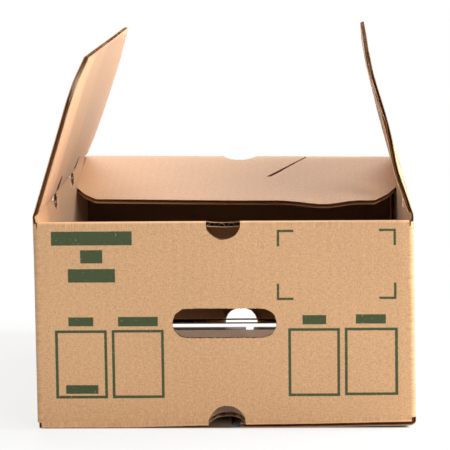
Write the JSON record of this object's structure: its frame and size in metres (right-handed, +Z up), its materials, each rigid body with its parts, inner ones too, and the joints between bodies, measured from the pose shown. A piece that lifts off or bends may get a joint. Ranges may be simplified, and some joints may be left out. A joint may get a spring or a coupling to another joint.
{
  "type": "cardboard tray box",
  "caption": "Corrugated produce carton used as an open tray: end flaps folded in, side flaps hinged open, vents across the folds, hand holes in both ends.",
  "frame": {"origin": "middle of the footprint, on the surface that the carton stands on", "axes": "+X to the right of the printed end panel, +Y from the printed end to the far end, +Z up"},
  "size_m": [0.3076, 0.418, 0.3131],
  "materials": {
    "kraft_board": "matte"
  },
  "bodies": {
    "carton": {"box_body": "kraft_board"},
    "left_side_flap": {"left_flap": "kraft_board"},
    "right_side_flap": {"right_flap": "kraft_board"}
  },
  "joints": [
    {"name": "left_flap_crease", "type": "hinge", "parent": "carton", "child": "left_side_flap", "pos_m": [-0.1539, 0, 0.17635], "axis": [0, 1, 0], "range_deg": [-195, 71]},
    {"name": "right_flap_crease", "type": "hinge", "parent": "carton", "child": "right_side_flap", "pos_m": [0.1539, 0, 0.17635], "axis": [0, -1, 0], "range_deg": [-193, 75]}
  ]
}
